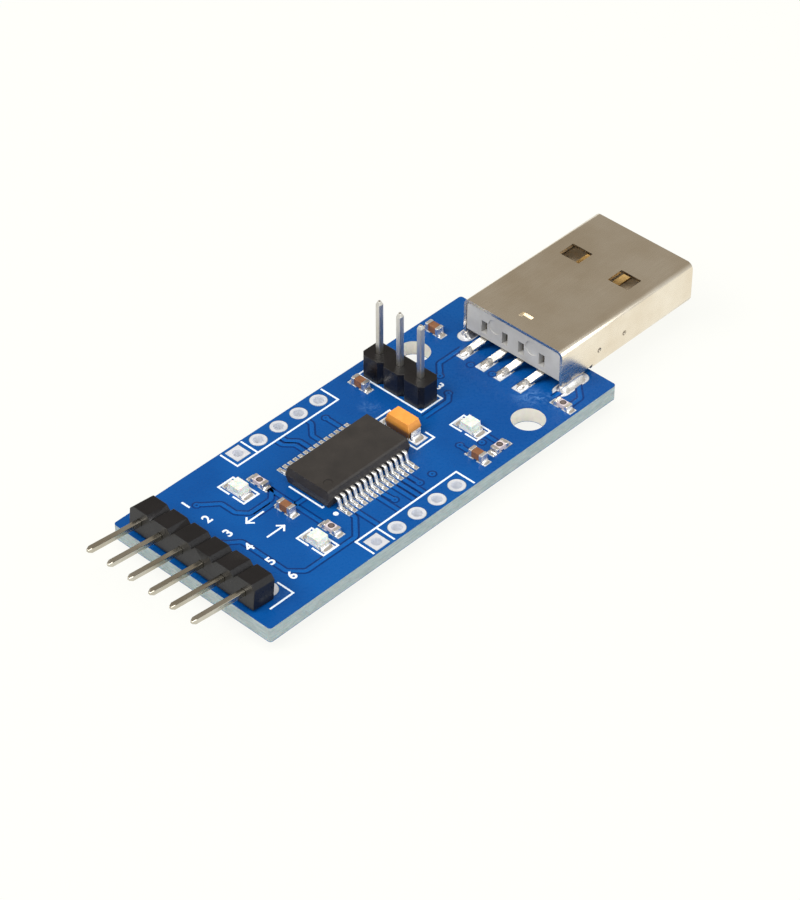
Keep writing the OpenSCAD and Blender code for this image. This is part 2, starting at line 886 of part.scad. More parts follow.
// A bent pin, seen along Y: point, free end, bend of one thickness, tail
module angled_pin_side() {
    w = pin_w / 2;
    n = w * pin_blunt;
    l = header_reach;
    free_end = [for (p = [
        [pin_point - l, header_mid_z - w], [-l, header_mid_z - n],
        [-l, header_mid_z + n], [pin_point - l, header_mid_z + w]
    ]) lift_point(p)];
    bend = [for (i = [0 : bend_steps])
        bend_at + pin_w * [sin(header_lift + (90 - header_lift) * i / bend_steps),
            cos(header_lift + (90 - header_lift) * i / bend_steps)]];
    tail = [
        [header_tail_x + w, pin_point - top], [header_tail_x + n, -top],
        [header_tail_x - n, -top], [header_tail_x - w, pin_point - top]
    ];
    polygon(concat(free_end, bend, tail, [bend_at]));
}

// The same pin seen along X, tapered at the tail
module angled_pin_front() {
    w = pin_w / 2;
    n = w * pin_blunt;
    polygon([[-w, pin_point - top], [-n, -top], [n, -top], [w, pin_point - top],
        [w, header_reach], [-w, header_reach]]);
}

// The same pin seen from above, tapered at the free end
module angled_pin_plan() {
    w = pin_w / 2;
    n = w * pin_blunt;
    polygon([[free_end_x + pin_point, -w], [free_end_x, -n], [free_end_x, n],
        [free_end_x + pin_point, w], [header_tail_x + pin_w, w], [header_tail_x + pin_w, -w]]);
}

module angled_pin(i) {
    color("silver")
        place(top)
            translate([0, header_ys[i], 0])
                intersection() {
                    rotate([90, 0, 0])
                        linear_extrude(2 * pin_w, center = true) angled_pin_side();
                    translate([header_tail_x, 0, 0])
                        rotate([90, 0, 90])
                            linear_extrude(4 * header_reach, center = true) angled_pin_front();
                    translate([0, 0, -top - eps])
                        linear_extrude(top + header_reach) angled_pin_plan();
                }
}

// The pointed end of an upright pin
module tail_point() {
    w = pin_w / 2;
    n = w * pin_blunt;
    intersection_for(turn = [0, 90])
        rotate([90, 0, turn])
            linear_extrude(pin_w, center = true)
                polygon([[-n, 0], [n, 0], [w, pin_point], [-w, pin_point]]);
}

module angled_pin_1() {
    angled_pin(0);
}

module angled_pin_2() {
    angled_pin(1);
}

module angled_pin_3() {
    angled_pin(2);
}

module angled_pin_4() {
    angled_pin(3);
}

module angled_pin_5() {
    angled_pin(4);
}

module angled_pin_6() {
    angled_pin(5);
}

// The upright block: three eight-sided cells with a square hole each
module selector_block() {
    c = cell_cut;
    w = selector_w / 2;
    p = pitch / 2;
    color([0.13, 0.12, 0.13])
        place(top)
            translate([selector_x, 0, 0])
                linear_extrude(selector_h)
                    difference() {
                        for (y = selector_ys)
                            translate([0, y])
                                polygon([
                                    [-w, c - p], [c - w, -p], [w - c, -p], [w, c - p],
                                    [w, p - c], [w - c, p], [c - w, p], [-w, p - c]
                                ]);
                        for (y = selector_ys)
                            translate([0, y]) square(pin_w, center = true);
                    }
}

// A straight pin with a point at each end
module selector_pin(i) {
    h = selector_h + selector_pin_l;
    color("silver")
        place(top)
            translate([selector_x, selector_ys[i], 0]) {
                translate([0, 0, -top]) tail_point();
                translate([-pin_w / 2, -pin_w / 2, -top + pin_point])
                    cube([pin_w, pin_w, top + h - 2 * pin_point]);
                translate([0, 0, h]) mirror([0, 0, 1]) tail_point();
            }
}

module selector_pin_1() {
    selector_pin(0);
}

module selector_pin_2() {
    selector_pin(1);
}

module selector_pin_3() {
    selector_pin(2);
}

// The moulded capacitor: a drafted case with a bevelled edge, above its straps
strap_t = 0.12;
moulded_draft = 0.12;
module moulded_capacitor() {
    h = moulded_h;
    z_mid = strap_t + (h - strap_t) / 2;
    d = moulded_draft;
    w = moulded_w / 2;
    l = moulded_l / 2 - strap_t;
    color("orange")
        place(top)
            translate(moulded_at)
                intersection() {
                    rotate([90, 0, 0])
                        linear_extrude(moulded_l, center = true)
                            polygon([[-w, z_mid], [d - w, strap_t], [w - d, strap_t], [w, z_mid],
                                [w - d, h], [d - w, h]]);
                    rotate([90, 0, 90])
                        linear_extrude(moulded_w, center = true)
                            polygon([[-l, z_mid], [d - l, strap_t], [l - d, strap_t], [l, z_mid],
                                [l - 2 * d, h], [2 * d - l, h]]);
                }
}

// The capacitor's two metal straps: up each end face and under the case
strap_h = 0.85;
strap_foot = 0.9;
module moulded_capacitor_straps() {
    color("gainsboro")
        place(top)
            for (s = [0, 180])
                translate(moulded_at)
                    rotate(s)
                        translate([strap_w / 2, 0, 0])
                            rotate([90, 0, -90])
                                linear_extrude(strap_w) strap_profile();
}

// A strap, seen from the side: its flat foot and its raised end
module strap_profile() {
    l = moulded_l / 2;
    t = strap_t;
    foot = l - strap_foot;
    polygon([[foot, 0], [l, 0], [l, strap_h], [l - t, strap_h], [l - t, t], [foot, t]]);
}

// A lamp's base plate between its two terminals
lamp_base_t = 0.3;
lamp_cap_l = 0.25;
module lamp_base(i) {
    color("white")
        place(top)
            translate(lamps[i])
                translate([-lamp_w / 2, -lamp_l / 2 + lamp_cap_l, 0])
                    cube([lamp_w, lamp_l - 2 * lamp_cap_l, lamp_base_t]);
}

module lamp_base_1() {
    lamp_base(0);
}

module lamp_base_2() {
    lamp_base(1);
}

module lamp_base_3() {
    lamp_base(2);
}

// The clear lens over the base, with sloped ends
lens_slope = 0.08;
module lamp_lens(i) {
    l = lamp_l / 2 - lamp_cap_l;
    z = lamp_base_t;
    color([0.95, 0.95, 0.88])
        place(top)
            translate(lamps[i])
                rotate([90, 0, 90])
                    linear_extrude(lamp_w, center = true)
                        polygon([[-l, z], [l, z], [l - lens_slope, lamp_h], [lens_slope - l, lamp_h]]);
}

module lamp_lens_1() {
    lamp_lens(0);
}

module lamp_lens_2() {
    lamp_lens(1);
}

module lamp_lens_3() {
    lamp_lens(2);
}

// The metal ends of the three lamps
module lamp_terminals() {
    color("gainsboro")
        place(top)
            for (p = lamps, s = [-1, 1])
                translate([p[0], p[1] + s * (lamp_l - lamp_cap_l) / 2, lamp_base_t / 2])
                    cube([lamp_w, lamp_cap_l, lamp_base_t], center = true);
}

// A small part's body between its end caps
module small_body(p, h, inset) {
    place(top)
        translate([p[0], p[1], inset])
            rotate(p[2])
                translate([-small_l / 2 + cap_l, -small_w / 2 + inset, 0])
                    cube([small_l - 2 * cap_l, small_w - 2 * inset, h - 2 * inset]);
}

// The two end caps of each small part in a list
module small_caps(list, h) {
    place(top)
        for (p = list, s = [-1, 1])
            translate([p[0], p[1], h / 2])
                rotate(p[2])
                    translate([s * (small_l - cap_l) / 2, 0, 0])
                        cube([cap_l, small_w, h], center = true);
}

body_inset = 0.04;
module resistor_body(i) {
    color([0.15, 0.15, 0.17]) small_body(resistors[i], resistor_h, body_inset);
}

module resistor_body_1() {
    resistor_body(0);
}

module resistor_body_2() {
    resistor_body(1);
}

module resistor_body_3() {
    resistor_body(2);
}

module resistor_body_4() {
    resistor_body(3);
}

module resistor_caps() {
    color("gainsboro") small_caps(resistors, resistor_h);
}

module ceramic_body(i) {
    color("sienna") small_body(ceramics[i], ceramic_h, body_inset);
}

module ceramic_body_1() {
    ceramic_body(0);
}

module ceramic_body_2() {
    ceramic_body(1);
}

module ceramic_body_3() {
    ceramic_body(2);
}

module ceramic_body_4() {
    ceramic_body(3);
}

module ceramic_caps() {
    color("gainsboro") small_caps(ceramics, ceramic_h);
}

// A hollow-sided cone of solder round a square pin, below the board
solder_edge = 0.1;
module solder_cone(d) {
    r = d / 2 - solder_edge;
    a = pin_w * 0.75;
    difference() {
        rotate_extrude()
            polygon([[0, 0], [r, 0], [r * 0.72, -solder_h * 0.3], [a * 1.15, -solder_h * 0.65],
                [a, -solder_h], [0, -solder_h]]);
        cube([pin_w, pin_w, 4 * solder_h], center = true);
    }
}

module pin_solder() {
    color("silver")
        place(low) {
            at_header_tails() solder_cone(header_pad_d);
            at_selector_tails() solder_cone(selector_pad_d);
        }
}

// The solder ridges along the shell's legs, above and below the board
module leg_solder() {
    w = slot_w + 2 * leg_pad_edge - solder_edge;
    neck = shell_t / 2 + film_t;
    h = solder_h * 0.75;
    color("silver")
        place(0)
            for (y = leg_ys, side = [0, 1])
                translate([leg_mid_x, y, side == 0 ? low : top])
                    mirror([0, 0, side == 0 ? 1 : 0])
                        difference() {
                            rotate([90, 0, 90])
                                linear_extrude(leg_l, center = true)
                                    polygon([[-w / 2, 0], [w / 2, 0], [w / 4, h / 3], [neck, h],
                                        [-neck, h], [-w / 4, h / 3]]);
                            cube([2 * leg_l, shell_t, 4 * solder_h], center = true);
                        }
}

board();
mask_top();
mask_bottom();
legend();
row_pads_front();
row_pads_back();
header_pads();
selector_pads();
surface_pads();
leg_pads();
usb_shell();
usb_insert();
usb_contact_1();
usb_contact_2();
usb_contact_3();
usb_contact_4();
chip_body();
chip_leads_front();
chip_leads_back();
angled_header_block();
angled_pin_1();
angled_pin_2();
angled_pin_3();
angled_pin_4();
angled_pin_5();
angled_pin_6();
selector_block();
selector_pin_1();
selector_pin_2();
selector_pin_3();
moulded_capacitor();
moulded_capacitor_straps();
lamp_base_1();
lamp_base_2();
lamp_base_3();
lamp_lens_1();
lamp_lens_2();
lamp_lens_3();
lamp_terminals();
resistor_body_1();
resistor_body_2();
resistor_body_3();
resistor_body_4();
resistor_caps();
ceramic_body_1();
ceramic_body_2();
ceramic_body_3();
ceramic_body_4();
ceramic_caps();
pin_solder();
leg_solder();
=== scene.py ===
import math

import bmesh
import bpy
import numpy as np
from mathutils import Matrix, Vector


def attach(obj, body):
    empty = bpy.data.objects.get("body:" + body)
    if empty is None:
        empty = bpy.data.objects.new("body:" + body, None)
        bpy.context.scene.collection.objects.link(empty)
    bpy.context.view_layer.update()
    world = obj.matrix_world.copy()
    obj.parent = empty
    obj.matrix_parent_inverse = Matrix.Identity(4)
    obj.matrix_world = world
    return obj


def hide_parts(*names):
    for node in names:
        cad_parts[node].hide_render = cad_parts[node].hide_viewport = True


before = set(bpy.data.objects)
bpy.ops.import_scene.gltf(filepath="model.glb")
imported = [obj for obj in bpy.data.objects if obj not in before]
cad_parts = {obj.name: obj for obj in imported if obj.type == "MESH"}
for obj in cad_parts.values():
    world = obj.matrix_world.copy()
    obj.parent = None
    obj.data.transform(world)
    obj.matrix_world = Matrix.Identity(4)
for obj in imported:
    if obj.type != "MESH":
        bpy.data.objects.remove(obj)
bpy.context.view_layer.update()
print("frame loaded")

# Plan of the board in mm: x from the header end, y from the middle, z from the parts side
board = {"middleX": 26.481, "topZ": 3.0, "thick": 1.6}


def toPart(points):
    # plan point in mm -> point of the part in metres: shift along x and z, then scale
    points = np.asarray(points, dtype=float)
    return (points + (-board["middleX"], 0.0, board["topZ"])) * 0.001


def shade(red, green, blue):
    # screen colour 0-255 -> linear light, the usual two-part curve
    c = np.array([red, green, blue]) / 255.0
    c = np.where(c <= 0.04045, c / 12.92, ((c + 0.055) / 1.055) ** 2.4)
    return (*c.tolist(), 1.0)


# Finishes
def newFinish(name):
    finish = bpy.data.materials.new(name)
    finish.use_nodes = True
    tree = finish.node_tree
    return finish, tree.nodes, tree.links, tree.nodes["Principled BSDF"]


def placed(nodes, links, stretch=(1, 1, 1), turn=(0, 0, 0)):
    coords = nodes.new("ShaderNodeTexCoord")
    mapping = nodes.new("ShaderNodeMapping")
    mapping.inputs["Scale"].default_value = stretch
    mapping.inputs["Rotation"].default_value = turn
    links.new(coords.outputs["Object"], mapping.inputs["Vector"])
    return mapping.outputs["Vector"]


def noiseOf(nodes, links, vector, scale, detail=4.0, rough=0.55, warp=0.0):
    noise = nodes.new("ShaderNodeTexNoise")
    noise.inputs["Scale"].default_value = scale
    noise.inputs["Detail"].default_value = detail
    noise.inputs["Roughness"].default_value = rough
    noise.inputs["Distortion"].default_value = warp
    links.new(vector, noise.inputs["Vector"])
    return noise.outputs["Fac"]


def rangeOf(nodes, links, value, low, high, toLow, toHigh):
    span = nodes.new("ShaderNodeMapRange")
    span.inputs["From Min"].default_value = low
    span.inputs["From Max"].default_value = high
    span.inputs["To Min"].default_value = toLow
    span.inputs["To Max"].default_value = toHigh
    links.new(value, span.inputs["Value"])
    return span.outputs["Result"]


def mixOf(nodes, links, factor, first, second):
    mix = nodes.new("ShaderNodeMix")
    mix.data_type = "RGBA"
    links.new(factor, mix.inputs["Factor"])
    for socket, value in ((mix.inputs["A"], first), (mix.inputs["B"], second)):
        if isinstance(value, tuple):
            socket.default_value = value
        else:
            links.new(value, socket)
    return mix.outputs["Result"]


def bumpOf(nodes, links, height, distance, strength=1.0, under=None):
    bump = nodes.new("ShaderNodeBump")
    bump.inputs["Distance"].default_value = distance
    bump.inputs["Strength"].default_value = strength
    links.new(height, bump.inputs["Height"])
    if under is not None:
        links.new(under, bump.inputs["Normal"])
    return bump.outputs["Normal"]


def mathOf(nodes, links, operation, first, second):
    node = nodes.new("ShaderNodeMath")
    node.operation = operation
    for socket, value in zip(node.inputs, (first, second)):
        if isinstance(value, float):
            socket.default_value = value
        else:
            links.new(value, socket)
    return node.outputs["Value"]


def distanceOf(nodes, links, vector, place):
    away = nodes.new("ShaderNodeVectorMath")
    away.operation = "DISTANCE"
    links.new(vector, away.inputs[0])
    away.inputs[1].default_value = tuple(place)
    return away.outputs["Value"]


def makeFinish(name, look):
    # two colours mixed by a broad noise, roughness and bump from a fine one
    finish, nodes, links, shader = newFinish(name)
    vector = placed(nodes, links)
    patches = noiseOf(nodes, links, vector, look["patchScale"], 3.0, 0.6)
    grain = noiseOf(nodes, links, vector, look["grainScale"], 5.0, 0.6)
    spread = rangeOf(nodes, links, patches, 0.32, 0.68, 0.0, 1.0)
    colour = mixOf(nodes, links, spread, look["colour"], look["colourTwo"])
    links.new(colour, shader.inputs["Base Color"])
    low, high = look["roughness"]
    links.new(rangeOf(nodes, links, grain, 0.3, 0.7, low, high), shader.inputs["Roughness"])
    links.new(bumpOf(nodes, links, grain, look["bump"]), shader.inputs["Normal"])
    shader.inputs["Metallic"].default_value = look.get("metal", 0.0)
    for socket in ("Transmission Weight", "Subsurface Weight", "Subsurface Scale", "Specular IOR Level", "IOR"):
        if socket in look:
            shader.inputs[socket].default_value = look[socket]
    return finish


maskLook = {
    "pour": shade(8, 80, 150), "pourTwo": shade(6, 72, 140),
    "gap": shade(4, 46, 100), "gapTwo": shade(8, 50, 112), "track": shade(12, 88, 162),
    "residue": shade(120, 168, 222), "roughness": (0.22, 0.36),
    "gloss": {"Coat Weight": 0.04, "Coat Roughness": 0.12, "Specular IOR Level": 0.16},
}


def makeMask(name, colour, colourTwo, residues=()):
    # coloured film: slow tone drift, orange peel, and pale flux residue near given places
    finish, nodes, links, shader = newFinish(name)
    vector = placed(nodes, links)
    drift = rangeOf(nodes, links, noiseOf(nodes, links, vector, 170, 3.0, 0.5), 0.35, 0.65, 0.0, 1.0)
    tone = mixOf(nodes, links, drift, colour, colourTwo)
    wisps = noiseOf(nodes, links, placed(nodes, links, (1, 1, 1), (0, 0, 0.6)), 900, 6.0, 0.7, 2.5)
    for place, radius, amount in residues:
        away = distanceOf(nodes, links, vector, toPart((*place, 0.0)))
        near = rangeOf(nodes, links, away, radius * 0.001, 0.0, 0.0, amount)
        streak = rangeOf(nodes, links, wisps, 0.45, 0.75, 0.0, 1.0)
        tone = mixOf(nodes, links, mathOf(nodes, links, "MULTIPLY", near, streak), tone, maskLook["residue"])
    links.new(tone, shader.inputs["Base Color"])
    peel = noiseOf(nodes, links, vector, 2600, 3.0, 0.5)
    low, high = maskLook["roughness"]
    links.new(rangeOf(nodes, links, peel, 0.3, 0.7, low, high), shader.inputs["Roughness"])
    wave = noiseOf(nodes, links, vector, 500, 2.0, 0.4)
    under = bumpOf(nodes, links, wave, 0.000018)
    links.new(bumpOf(nodes, links, peel, 0.000006, 1.0, under), shader.inputs["Normal"])
    for socket, value in maskLook["gloss"].items():
        shader.inputs[socket].default_value = value
    return finish


laminateLook = {
    "resin": shade(158, 170, 171), "resinTwo": shade(130, 146, 148), "fibre": shade(196, 202, 198),
    "roughness": (0.5, 0.8), "bump": 0.00003, "scatter": {"Subsurface Weight": 0.15, "Subsurface Scale": 0.0006},
}


def makeLaminate(name):
    # glass cloth in resin: thin layers along z with short broken fibres
    finish, nodes, links, shader = newFinish(name)
    layers = noiseOf(nodes, links, placed(nodes, links, (0.12, 0.12, 1.0)), 9000, 4.0, 0.6)
    fibres = noiseOf(nodes, links, placed(nodes, links, (1, 1, 2.2)), 5200, 5.0, 0.65)
    tone = mixOf(nodes, links, rangeOf(nodes, links, layers, 0.35, 0.65, 0, 1),
                 laminateLook["resin"], laminateLook["resinTwo"])
    tone = mixOf(nodes, links, rangeOf(nodes, links, fibres, 0.55, 0.8, 0, 0.6), tone, laminateLook["fibre"])
    links.new(tone, shader.inputs["Base Color"])
    links.new(rangeOf(nodes, links, fibres, 0.3, 0.7, *laminateLook["roughness"]), shader.inputs["Roughness"])
    links.new(bumpOf(nodes, links, fibres, laminateLook["bump"]), shader.inputs["Normal"])
    for socket, value in laminateLook["scatter"].items():
        shader.inputs[socket].default_value = value
    return finish


def makeSheetMetal(name, look):
    # rolled sheet: long faint brush lines, soft clouds of tarnish, a few scratches
    finish, nodes, links, shader = newFinish(name)
    plain = placed(nodes, links)
    brush = noiseOf(nodes, links, placed(nodes, links, look["brushStretch"]), look["brushScale"], 5.0, 0.6)
    cloud = noiseOf(nodes, links, plain, 190, 3.0, 0.6)
    tone = mixOf(nodes, links, rangeOf(nodes, links, cloud, 0.35, 0.68, 0, 1), look["colour"], look["colourTwo"])
    links.new(tone, shader.inputs["Base Color"])
    scratch = noiseOf(nodes, links, placed(nodes, links, (0.5, 7.0, 7.0), (0.0, 0.0, 0.35)), 420, 2.0, 0.5, 0.4)
    fine = rangeOf(nodes, links, brush, 0.3, 0.7, *look["roughness"])
    links.new(fine, shader.inputs["Roughness"])
    under = bumpOf(nodes, links, brush, look["brushBump"])
    links.new(bumpOf(nodes, links, rangeOf(nodes, links, scratch, 0.62, 0.7, 0.0, 1.0), 0.000002, 0.5, under),
              shader.inputs["Normal"])
    shader.inputs["Metallic"].default_value = 1.0
    shader.inputs["Anisotropic"].default_value = 0.35
    return finish


# Pale flux residue: place in the plan, radius in mm, strength
residuePlaces = [((37.6, -5.0), 1.9, 0.75), ((38.4, -6.1), 1.1, 0.8), ((26.6, 4.6), 1.2, 0.45),
                 ((38.2, -7.6), 1.0, 0.4), ((3.6, -7.4), 1.0, 0.3)]
finishes = {
    "mask": makeMask("maskFilm", maskLook["pour"], maskLook["pourTwo"], residuePlaces),
    "maskUnder": makeMask("maskFilmUnder", maskLook["pour"], maskLook["pourTwo"]),
    "maskGap": makeMask("maskOverLaminate", maskLook["gap"], maskLook["gapTwo"]),
    "maskTrack": makeMask("maskOverTrack", maskLook["track"], maskLook["pour"]),
    "laminate": makeLaminate("laminate"),
    "ink": makeFinish("legendInk", {
        "colour": shade(236, 243, 248), "colourTwo": shade(222, 234, 244), "patchScale": 1500,
        "grainScale": 9000, "roughness": (0.45, 0.65), "bump": 0.000006}),
    "tin": makeFinish("tinnedCopper", {
        "colour": shade(246, 245, 242), "colourTwo": shade(228, 227, 222), "patchScale": 700,
        "grainScale": 3800, "roughness": (0.22, 0.38), "bump": 0.000006, "metal": 0.9}),
    "padTin": makeFinish("padTin", {
        "colour": shade(246, 247, 252), "colourTwo": shade(226, 230, 238), "patchScale": 900,
        "grainScale": 2600, "roughness": (0.36, 0.52), "bump": 0.000008, "metal": 0.5}),
    "solder": makeFinish("solder", {
        "colour": shade(248, 246, 242), "colourTwo": shade(226, 222, 216), "patchScale": 1100,
        "grainScale": 1500, "roughness": (0.18, 0.34), "bump": 0.000012, "metal": 0.9}),
    "shell": makeSheetMetal("shellSteel", {
        "colour": shade(242, 232, 214), "colourTwo": shade(230, 217, 195), "roughness": (0.2, 0.3),
        "brushStretch": (0.05, 1.0, 1.0), "brushScale": 6400, "brushBump": 0.0000012}),
    "insert": makeFinish("insertPlastic", {
        "colour": shade(188, 187, 184), "colourTwo": shade(172, 170, 166), "patchScale": 500,
        "grainScale": 5200, "roughness": (0.4, 0.58), "bump": 0.000008}),
    "contact": makeFinish("contactMetal", {
        "colour": shade(216, 212, 204), "colourTwo": shade(194, 188, 178), "patchScale": 600,
        "grainScale": 3000, "roughness": (0.14, 0.3), "bump": 0.000006, "metal": 1.0}),
    "chip": makeFinish("chipResin", {
        "colour": shade(52, 48, 45), "colourTwo": shade(42, 39, 37), "patchScale": 420,
        "grainScale": 9500, "roughness": (0.4, 0.6), "bump": 0.000012, "Specular IOR Level": 0.4}),
    "header": makeFinish("headerPlastic", {
        "colour": shade(20, 18, 20), "colourTwo": shade(12, 11, 13), "patchScale": 500,
        "grainScale": 4200, "roughness": (0.26, 0.4), "bump": 0.00001, "Specular IOR Level": 0.42}),
    "pin": makeSheetMetal("pinMetal", {
        "colour": shade(206, 202, 190), "colourTwo": shade(184, 176, 158), "roughness": (0.16, 0.32),
        "brushStretch": (0.05, 1.0, 1.0), "brushScale": 6000, "brushBump": 0.000003}),
    "uprightPin": makeSheetMetal("uprightPinMetal", {
        "colour": shade(222, 220, 214), "colourTwo": shade(200, 196, 186), "roughness": (0.28, 0.42),
        "brushStretch": (1.0, 1.0, 0.05), "brushScale": 6000, "brushBump": 0.000003}),
    "capacitor": makeFinish("capacitorResin", {
        "colour": shade(236, 160, 72), "colourTwo": shade(228, 148, 60), "patchScale": 900,
        "grainScale": 6500, "roughness": (0.4, 0.6), "bump": 0.00001}),
    "lampBase": makeFinish("lampBaseLaminate", {
        "colour": shade(244, 243, 238), "colourTwo": shade(230, 230, 224), "patchScale": 1300,
        "grainScale": 6000, "roughness": (0.4, 0.6), "bump": 0.000006}),
    "lens": makeFinish("lampLens", {
        "colour": shade(248, 247, 240), "colourTwo": shade(212, 226, 212), "patchScale": 2600,
        "grainScale": 5000, "roughness": (0.14, 0.3), "bump": 0.00001, "Transmission Weight": 0.1,
        "Subsurface Weight": 0.3, "Subsurface Scale": 0.0004, "IOR": 1.5}),
    "resistor": makeFinish("resistorGlaze", {
        "colour": shade(212, 200, 202), "colourTwo": shade(196, 182, 184), "patchScale": 1500,
        "grainScale": 6000, "roughness": (0.3, 0.45), "bump": 0.000004}),
    "ceramic": makeFinish("ceramicBody", {
        "colour": shade(142, 96, 64), "colourTwo": shade(120, 78, 50), "patchScale": 1500,
        "grainScale": 7000, "roughness": (0.4, 0.6), "bump": 0.000008}),
}


def tinted(name, field, colour):
    # a further tone over a finish, by a field between nothing and one
    nodes, links = finishes[name].node_tree.nodes, finishes[name].node_tree.links
    socket = nodes["Principled BSDF"].inputs["Base Color"]
    before = socket.links[0].from_socket
    links.new(mixOf(nodes, links, field(nodes, links), before, colour), socket)


def along(axis, low, high):
    # field that grows from low to high along one axis of the part, in metres
    def field(nodes, links):
        split = nodes.new("ShaderNodeSeparateXYZ")
        links.new(placed(nodes, links), split.inputs["Vector"])
        return rangeOf(nodes, links, split.outputs[axis], low, high, 0.0, 1.0)
    return field


def nearTo(places, full, none, weights=(1, 1, 1)):
    # field round places, in mm: the largest of (none - distance) / (none - full),
    # with the distance weighted by axis
    def field(nodes, links):
        vector, best = placed(nodes, links, weights), None
        for place in places:
            away = distanceOf(nodes, links, vector, toPart(place) * np.array(weights))
            near = rangeOf(nodes, links, away, none * 0.001, full * 0.001, 0.0, 1.0)
            best = near if best is None else mathOf(nodes, links, "MAXIMUM", best, near)
        return best
    return field


# Zones with a further tone: places in the plan, and the distances in mm between which the tone fades; the
# capacitor's darker foot and the dark spots at the shell's pits are painted shade
zones = {
    "mountHoles": [(35.15, 7.05, 0.0), (35.15, -7.05, 0.0)], "holeWall": shade(232, 228, 218),
    "holeBand": (1.63, 1.72), "pitBand": (0.12, 0.3), "glazeBand": (0.25, 0.28), "glazeEdgeBand": (0.34, 0.36),
    "gilded": shade(222, 190, 134), "gildedFrom": 41.5, "gildedFade": 0.4,
    "tongue": shade(186, 170, 146), "tongueFade": 4.0,
    "capacitorPaintedShade": shade(120, 78, 22), "capacitorShadeBand": (0.6, 1.3),
    "pits": [(45.2, -6.7, 1.9), (48.7, -6.7, 1.9), (45.2, 5.3, 1.9), (48.7, 5.3, 1.9)],
    "pitPaintedShade": shade(70, 56, 40),
    "glazeAt": [(12.4, 4.2, 0.5), (12.4, -4.6, 0.5), (30.4, -7.85, 0.5), (38.65, -8.1, 0.5)],
    "glaze": shade(104, 92, 90), "glazeEdge": shade(48, 40, 38),
}
tinted("laminate", nearTo(zones["mountHoles"], *zones["holeBand"], (1, 1, 0)), zones["holeWall"])
gildedX = (zones["gildedFrom"] - board["middleX"]) * 0.001
tinted("contact", along("X", gildedX, gildedX + zones["gildedFade"] * 0.001), zones["gilded"])
tinted("insert", along("X", gildedX, gildedX + zones["tongueFade"] * 0.001), zones["tongue"])
# painted shade: the moulded capacitor's sides darken towards the board
low, high = zones["capacitorShadeBand"]
lowZ, highZ = (board["topZ"] + low) * 0.001, (board["topZ"] + high) * 0.001
tinted("capacitor", along("Z", highZ, lowZ), zones["capacitorPaintedShade"])
# painted shade: the shell darkens in its pressed pits
tinted("shell", nearTo(zones["pits"], *zones["pitBand"]), zones["pitPaintedShade"])
tinted("resistor", nearTo(zones["glazeAt"], *zones["glazeEdgeBand"], (1, 1, 4)), zones["glazeEdge"])
tinted("resistor", nearTo(zones["glazeAt"], *zones["glazeBand"], (1, 1, 4)), zones["glaze"])
print("finishes made")

# CAD nodes: finish, and a small bevel where the real edge is rounded
nodeFinish = {
    "board": "laminate", "mask_top": "mask", "mask_bottom": "maskUnder", "legend": "ink",
    "row_pads_front": "padTin", "row_pads_back": "padTin", "header_pads": "padTin",
    "selector_pads": "padTin", "surface_pads": "padTin", "leg_pads": "padTin",
    "usb_shell": "shell", "usb_insert": "insert", "chip_body": "chip",
    "chip_leads_front": "tin", "chip_leads_back": "tin", "angled_header_block": "header",
    "selector_block": "header", "moulded_capacitor": "capacitor", "moulded_capacitor_straps": "tin",
    "lamp_terminals": "tin", "resistor_caps": "solder", "ceramic_caps": "solder",
    "pin_solder": "solder", "leg_solder": "solder",
}

# Width of the soft edge in mm
softEdges = {
    "chip_body": 0.035, "angled_header_block": 0.05, "selector_block": 0.05, "moulded_capacitor": 0.05,
    "usb_shell": 0.05, "usb_insert": 0.05, "resistor_caps": 0.07, "ceramic_caps": 0.09,
    "lamp_terminals": 0.04, "moulded_capacitor_straps": 0.03,
}

# Numbered nodes: stem, how many, finish, soft edge
numbered = [("angled_pin", 6, "pin", 0.05), ("selector_pin", 3, "uprightPin", 0.05), ("lamp_base", 3, "lampBase", 0),
            ("lamp_lens", 3, "lens", 0.05), ("usb_contact", 4, "contact", 0.03),
            ("resistor_body", 4, "resistor", 0.03), ("ceramic_body", 4, "ceramic", 0.06)]
for stem, count, finish, edge in numbered:
    for number in range(1, count + 1):
        nodeFinish[f"{stem}_{number}"] = finish
        if edge:
            softEdges[f"{stem}_{number}"] = edge

for name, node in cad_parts.items():
    for place in node.material_slots:
        place.material = finishes[nodeFinish[name]]
    if name in softEdges:
        weld = node.modifiers.new("joinTriangles", "WELD")
        weld.merge_threshold = 0.000001
        bevel = node.modifiers.new("softEdge", "BEVEL")
        bevel.width = softEdges[name] * 0.001
        bevel.segments = 2
        bevel.limit_method = "ANGLE"
        bevel.angle_limit = math.radians(30)  # only edges sharper than this
        bevel.use_clamp_overlap = True
        bevel.harden_normals = False
print("nodes finished")


# Surface builders
def joinParts(parts):
    # several (points, faces) put end to end, with each face list shifted by the points before it
    start, points, faces = 0, [], []
    for somePoints, someFaces in parts:
        points.append(somePoints)
        faces += [[index + start for index in face] for face in someFaces]
        start += len(somePoints)
    return np.concatenate(points), faces


def putPiece(name, parts, finish, sharpAbove=40.0, replaced=()):
    points, faces = joinParts(parts)
    mesh = bpy.data.meshes.new(name)
    mesh.from_pydata(toPart(points).tolist(), [], faces)
    shape = bmesh.new()
    shape.from_mesh(mesh)
    bmesh.ops.remove_doubles(shape, verts=shape.verts, dist=1e-8)
    bmesh.ops.dissolve_degenerate(shape, edges=shape.edges, dist=1e-9)
    bmesh.ops.recalc_face_normals(shape, faces=shape.faces)
    shape.to_mesh(mesh)
    shape.free()
    mesh.materials.append(finishes[finish])
    piece = bpy.data.objects.new(name, mesh)
    bpy.context.collection.objects.link(piece)
    mesh.shade_smooth()
    mesh.set_sharp_from_angle(angle=math.radians(sharpAbove))
    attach(piece, "root")
    if replaced:
        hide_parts(*replaced)
    return piece


